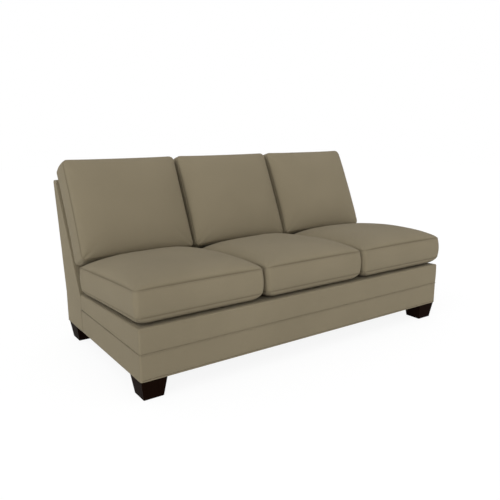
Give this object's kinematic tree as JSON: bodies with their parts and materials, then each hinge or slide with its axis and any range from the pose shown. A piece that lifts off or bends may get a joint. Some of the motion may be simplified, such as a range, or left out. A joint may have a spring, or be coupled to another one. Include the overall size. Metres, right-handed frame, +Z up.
{
  "type": "armless sofa",
  "caption": "Armless sofa with boxed loose seat and back cushions on an upholstered box base with a raked back and short tapered wooden legs.",
  "frame": {"origin": "on the floor, under the middle of the sofa's width and of its depth from the base's front face to the top rear edge of the back", "axes": "+X to the right of the sofa seen from its front, -Y towards the front, +Z up"},
  "size_m": [1.806, 0.9759, 0.8946],
  "materials": {
    "cover": "matte",
    "dark_wood": "satin",
    "frame_wood": "matte",
    "spring_steel": "satin",
    "zinc_steel": "satin",
    "webbing": "matte",
    "felt": "matte",
    "foam": "matte",
    "batting": "matte",
    "deck_cloth": "matte",
    "dust_cover": "matte",
    "board": "matte",
    "zip": "matte"
  },
  "bodies": {
    "frame": {"back_batting": "batting", "back_inner_posts": "frame_wood", "back_lower_rail": "frame_wood", "back_post_left": "frame_wood", "back_post_right": "frame_wood", "back_side_cover_left": "cover", "back_side_cover_right": "cover", "back_top_rail": "frame_wood", "back_webbing": "webbing", "base_batting": "batting", "base_front_hem": "cover", "base_front_lower_panel": "cover", "base_front_upper_panel": "cover", "base_side_panels_left": "cover", "base_side_panels_right": "cover", "base_welt": "cover", "deck_cloth": "deck_cloth", "deck_insulator": "felt", "deck_pad": "foam", "dust_cover": "dust_cover", "dust_cover_staples": "zinc_steel", "frame_corner_blocks": "frame_wood", "frame_cross_members": "frame_wood", "frame_dowels": "frame_wood", "frame_front_rail": "frame_wood", "frame_rear_rail": "frame_wood", "frame_side_rail_left": "frame_wood", "frame_side_rail_right": "frame_wood", "frame_spring_rail": "frame_wood", "front_edge_roll": "foam", "inside_back_cover": "cover", "leg_front_left": "dark_wood", "leg_front_right": "dark_wood", "leg_hanger_bolts": "zinc_steel", "leg_rear_left": "dark_wood", "leg_rear_right": "dark_wood", "leg_tee_nuts": "zinc_steel", "outside_back_board": "board", "outside_back_cover": "cover", "seat_springs": "spring_steel", "spring_clips": "spring_steel", "spring_tie_wires": "spring_steel"},
    "seat_cushion_left": {"seat_cushion_core_left": "foam", "seat_cushion_cover_left": "cover", "seat_cushion_zip_left": "zip"},
    "back_cushion_left": {"back_cushion_core_left": "foam", "back_cushion_cover_left": "cover", "back_cushion_zip_left": "zip"},
    "seat_cushion_centre": {"seat_cushion_core_centre": "foam", "seat_cushion_cover_centre": "cover", "seat_cushion_zip_centre": "zip"},
    "back_cushion_centre": {"back_cushion_core_centre": "foam", "back_cushion_cover_centre": "cover", "back_cushion_zip_centre": "zip"},
    "seat_cushion_right": {"seat_cushion_core_right": "foam", "seat_cushion_cover_right": "cover", "seat_cushion_zip_right": "zip"},
    "back_cushion_right": {"back_cushion_core_right": "foam", "back_cushion_cover_right": "cover", "back_cushion_zip_right": "zip"}
  },
  "joints": [
    {"name": "seat_cushion_left_slide", "type": "slide", "parent": "frame", "child": "seat_cushion_left", "axis": [0, -0.9989, 0.0471], "range_m": [0, 0.72]},
    {"name": "back_cushion_left_slide", "type": "slide", "parent": "frame", "child": "back_cushion_left", "axis": [0, 0.4478, 0.8942], "range_m": [0, 0.52]},
    {"name": "seat_cushion_centre_slide", "type": "slide", "parent": "frame", "child": "seat_cushion_centre", "axis": [0, -0.9989, 0.0471], "range_m": [0, 0.72]},
    {"name": "back_cushion_centre_slide", "type": "slide", "parent": "frame", "child": "back_cushion_centre", "axis": [0, 0.4478, 0.8942], "range_m": [0, 0.52]},
    {"name": "seat_cushion_right_slide", "type": "slide", "parent": "frame", "child": "seat_cushion_right", "axis": [0, -0.9989, 0.0471], "range_m": [0, 0.72]},
    {"name": "back_cushion_right_slide", "type": "slide", "parent": "frame", "child": "back_cushion_right", "axis": [0, 0.4478, 0.8942], "range_m": [0, 0.52]}
  ]
}
